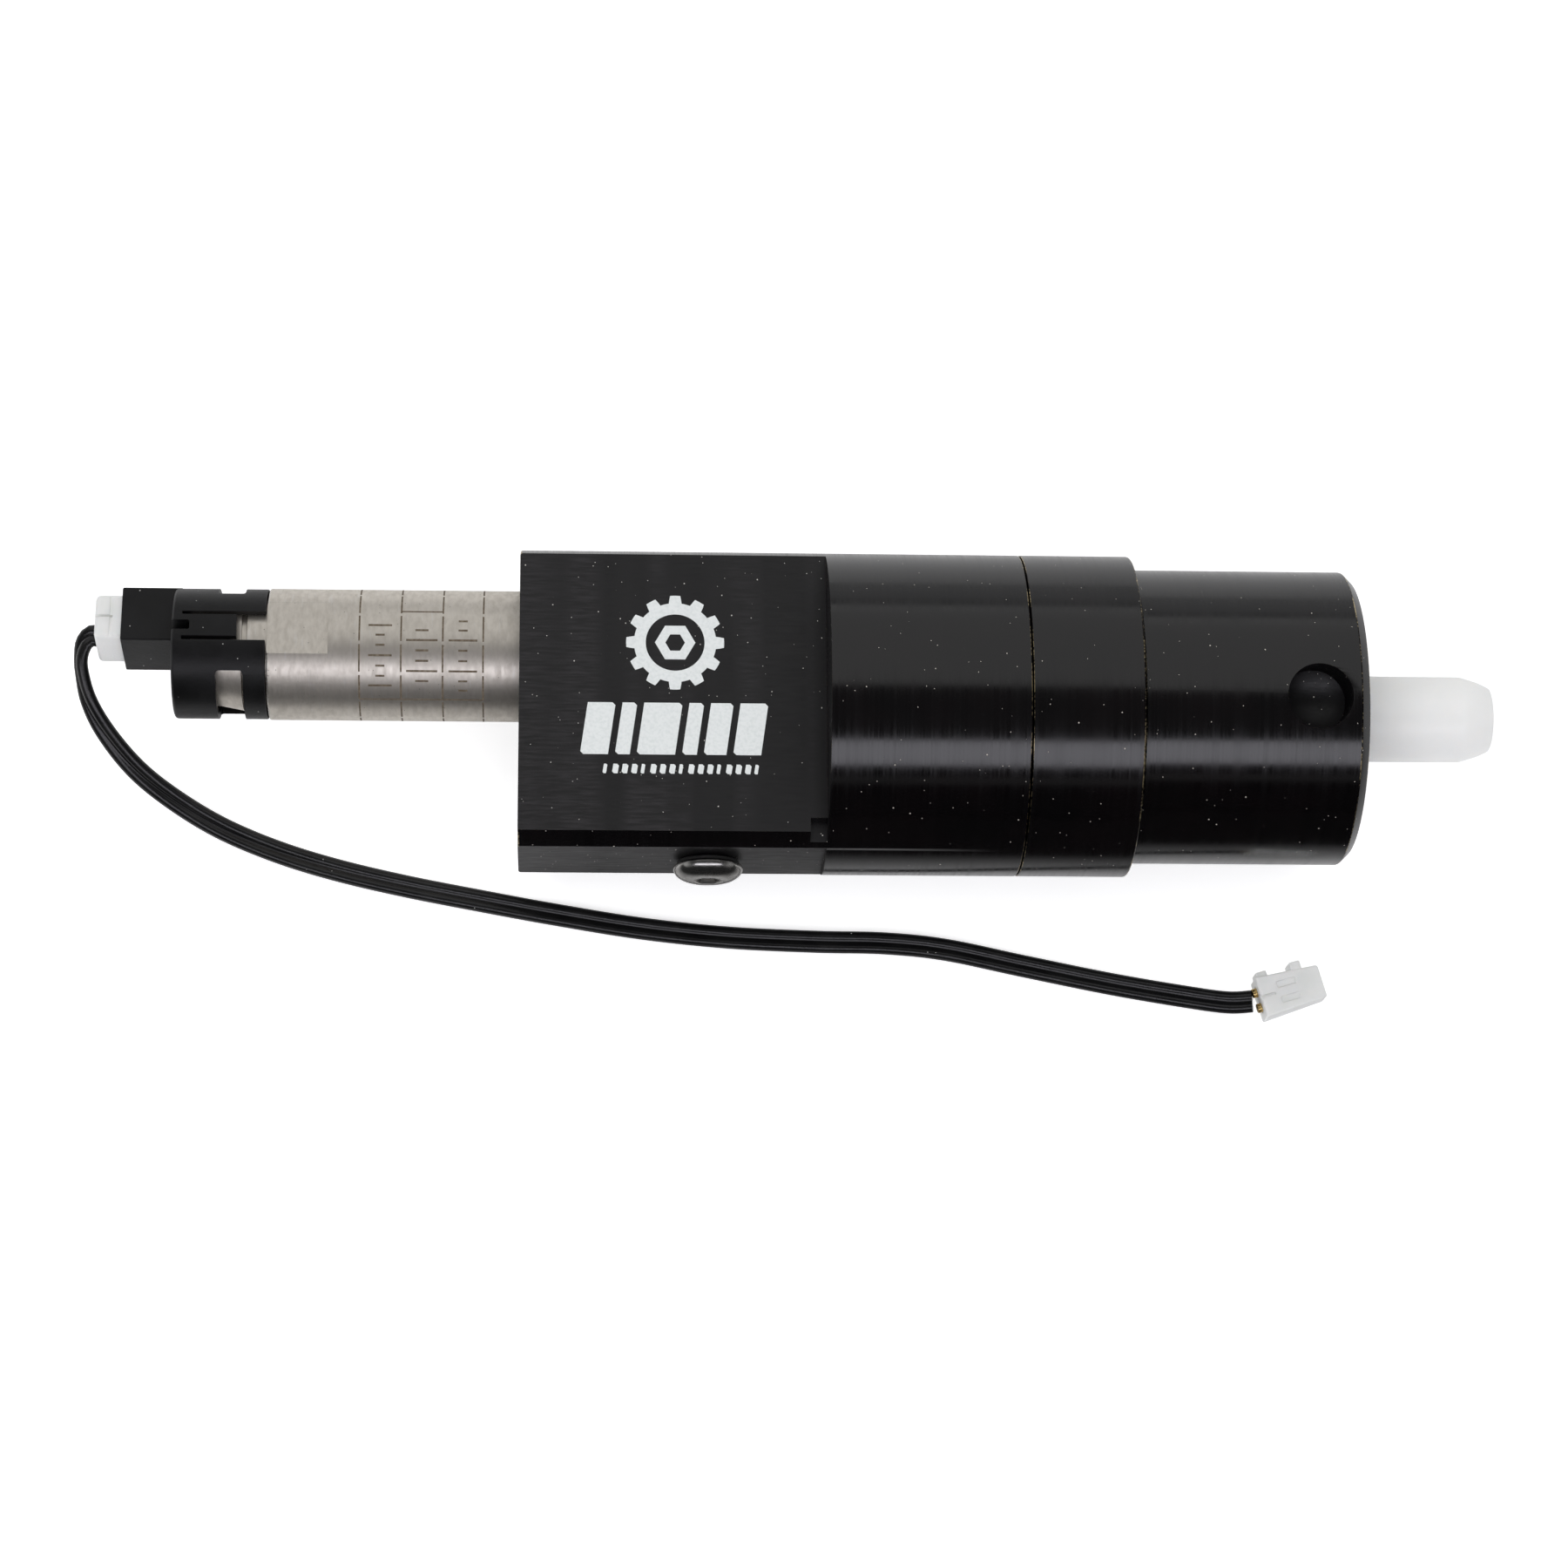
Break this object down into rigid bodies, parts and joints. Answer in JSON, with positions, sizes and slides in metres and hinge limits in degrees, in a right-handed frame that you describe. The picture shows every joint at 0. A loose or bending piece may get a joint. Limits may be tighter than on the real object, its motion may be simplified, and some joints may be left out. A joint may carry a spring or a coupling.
{
  "type": "pneumatic nozzle actuator",
  "caption": "Round air cylinder with a sliding nozzle in front, a valve block with flats, a solenoid valve in its rear and a thin plug-in lead.",
  "frame": {"origin": "middle of the device's box in plan, on the surface that it rests on", "axes": "+X along the cylinder's axis towards the nozzle, +Z square to the wide flat, +Y towards the solenoid's side"},
  "size_m": [0.1107, 0.0343, 0.025],
  "materials": {
    "black_anodised": "glossy black anodised, turned",
    "white_acetal": "milky white acetal",
    "satin_nickel": "satin nickel plate",
    "stainless_steel": "bright stainless steel",
    "copper_winding": "enamelled copper wire",
    "brass": "gold-flashed contacts",
    "natural_peek": "natural tan PEEK",
    "black_nylon": "glass-filled black nylon",
    "natural_nylon": "natural translucent nylon",
    "black_rubber": "matte nitrile rubber",
    "black_insulation": "glossy black soft insulation"
  },
  "bodies": {
    "actuator": {"valve_block": "black_anodised", "cylinder": "black_anodised", "nose": "black_anodised", "return_spring": "stainless_steel", "front_bumper": "black_rubber", "rear_bumper": "black_rubber", "valve_stem": "stainless_steel", "stem_o_ring": "black_rubber", "cylinder_o_ring": "black_rubber", "rod_o_ring": "black_rubber", "plug_screw": "stainless_steel", "plug_screw_seal": "black_rubber", "solenoid_can": "satin_nickel", "solenoid_core": "stainless_steel", "solenoid_bobbin": "natural_nylon", "solenoid_coil": "copper_winding", "valve_base": "natural_peek", "valve_o_ring_rear": "black_rubber", "valve_o_ring_front": "black_rubber", "armature_spring": "stainless_steel", "end_cap": "black_nylon", "header_pin_1": "stainless_steel", "header_pin_2": "stainless_steel"},
    "nozzle": {"nozzle": "white_acetal", "piston_o_ring": "black_rubber"},
    "armature": {"armature": "stainless_steel", "armature_seal": "black_rubber"},
    "lead": {"plug_housing": "natural_nylon", "plug_contact_1": "brass", "plug_contact_2": "brass", "lead_wires": "black_insulation", "connector_housing": "natural_nylon", "connector_contact_1": "brass", "connector_contact_2": "brass"}
  },
  "joints": [
    {"name": "nozzle_slide", "type": "slide", "parent": "actuator", "child": "nozzle", "axis": [1, 0, 0], "range_m": [0, 0.008], "stiffness_N_per_m": 800, "springref_m": -0.0025, "deforming": ["return_spring"]},
    {"name": "armature_slide", "type": "slide", "parent": "actuator", "child": "armature", "axis": [-1, 0, 0], "range_m": [0, 0.0004], "stiffness_N_per_m": 500, "springref_m": -0.001, "deforming": ["armature_spring"]},
    {"name": "plug_pull", "type": "slide", "parent": "actuator", "child": "lead", "axis": [-1, 0, 0], "range_m": [0, 0.005]}
  ]
}
